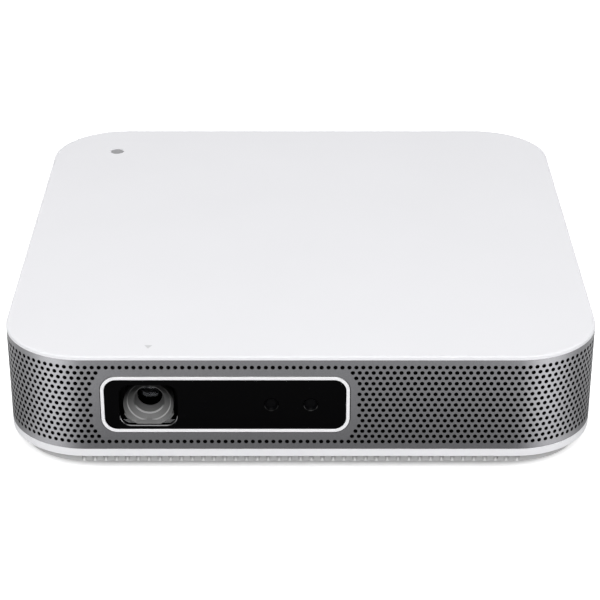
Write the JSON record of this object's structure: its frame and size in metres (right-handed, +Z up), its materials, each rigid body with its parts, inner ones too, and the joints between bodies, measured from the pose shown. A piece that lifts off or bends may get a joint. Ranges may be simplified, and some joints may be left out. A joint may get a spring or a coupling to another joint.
{
  "type": "portable projector",
  "caption": "Flat square projector with a perforated metal band, a recessed lens window, a motor-driven focusing lens, a blower and a fold-out tilt stand.",
  "frame": {"origin": "centre of the case's outline, on the surface that the feet rest on", "axes": "+Z up; -Y is the front, where the lens looks out; +X to the right seen from the front"},
  "size_m": [0.15, 0.1504, 0.032],
  "materials": {
    "white_shell": "fine satin",
    "band_metal": "satin anodised",
    "black_frame": "matt",
    "grey_trim": "matt",
    "foot_rubber": "matt",
    "steel": "zinc plated",
    "brass": "turned brass",
    "window_gloss": "polished",
    "bezel_white": "satin",
    "hood_grey": "matt",
    "sensor_grey": "polished",
    "board_green": "solder mask",
    "optic_glass": "coated",
    "cast_alloy": "die cast",
    "fin_alloy": "stamped",
    "copper": "drawn copper",
    "fan_black": "matt",
    "chip_black": "matt",
    "cell_wrap": "heat-shrink",
    "button_grey": "satin",
    "cone_paper": "pressed paper",
    "light_source": "phosphor"
  },
  "bodies": {
    "housing": {"top_cover": "white_shell", "perforated_band": "band_metal", "inner_frame": "black_frame", "rear_frame": "black_frame", "left_frame": "black_frame", "right_frame": "black_frame", "base_cover": "white_shell", "slotted_plinth": "grey_trim", "rubber_feet": "foot_rubber", "case_screws": "steel", "tripod_insert": "brass", "stand_brackets": "grey_trim", "board_standoffs": "brass", "window_bezel": "bezel_white", "front_window": "window_gloss", "lens_hood": "hood_grey", "autofocus_camera": "sensor_grey", "distance_sensor": "sensor_grey", "sensor_board": "board_green", "guide_rod": "steel", "focus_motor": "steel", "focus_bracket": "steel", "optics_housing": "cast_alloy", "optics_lid": "cast_alloy", "relay_lens": "optic_glass", "prism": "optic_glass", "imaging_chip": "chip_black", "chip_board": "board_green", "integrator_lens": "optic_glass", "dichroic_mirror": "optic_glass", "led_modules": "light_source", "heat_spreader": "fin_alloy", "heat_pipes": "copper", "heat_sink": "fin_alloy", "blower_housing": "fan_black", "blower_cover": "fan_black", "main_board": "board_green", "processor": "chip_black", "processor_heat_sink": "fin_alloy", "battery_cells": "cell_wrap", "battery_holder": "black_frame", "side_speaker_box": "black_frame", "side_speaker_driver": "cone_paper", "rear_speaker_box": "black_frame", "rear_speaker_driver": "cone_paper", "button_board": "board_green", "rear_panel": "window_gloss", "dc_inlet": "chip_black", "hdmi_port": "steel", "usb_port": "steel", "audio_jack": "chip_black"},
    "stand": {"tilt_stand": "grey_trim"},
    "lens_group": {"lens_carriage": "black_frame", "front_lens": "optic_glass", "rear_lens": "optic_glass"},
    "screw_shaft": {"focus_screw": "steel"},
    "fan_rotor": {"blower_impeller": "fan_black"},
    "button": {"power_button": "button_grey"}
  },
  "joints": [
    {"name": "stand_fold", "type": "hinge", "parent": "housing", "child": "stand", "pos_m": [0, -0.06, 0.0022], "axis": [-1, 0, 0], "range_deg": [0, 100]},
    {"name": "screw_spin", "type": "hinge", "parent": "housing", "child": "screw_shaft", "pos_m": [-0.0264, -0.06, 0.0182], "axis": [0, 1, 0], "range_deg": [-365, 365]},
    {"name": "lens_focus", "type": "slide", "parent": "housing", "child": "lens_group", "axis": [0, 1, 0], "range_m": [-0.0012, 0.0012]},
    {"name": "fan_spin", "type": "hinge", "parent": "housing", "child": "fan_rotor", "pos_m": [-0.031, 0.03, 0.014], "axis": [0, 0, 1], "continuous": true},
    {"name": "button_press", "type": "slide", "parent": "housing", "child": "button", "axis": [0, 0, -1], "range_m": [0, 0.0004], "stiffness_N_per_m": 400}
  ],
  "couplings": [
    {"joint": "screw_spin", "follows": "lens_focus", "rad_per_m": 5236}
  ]
}
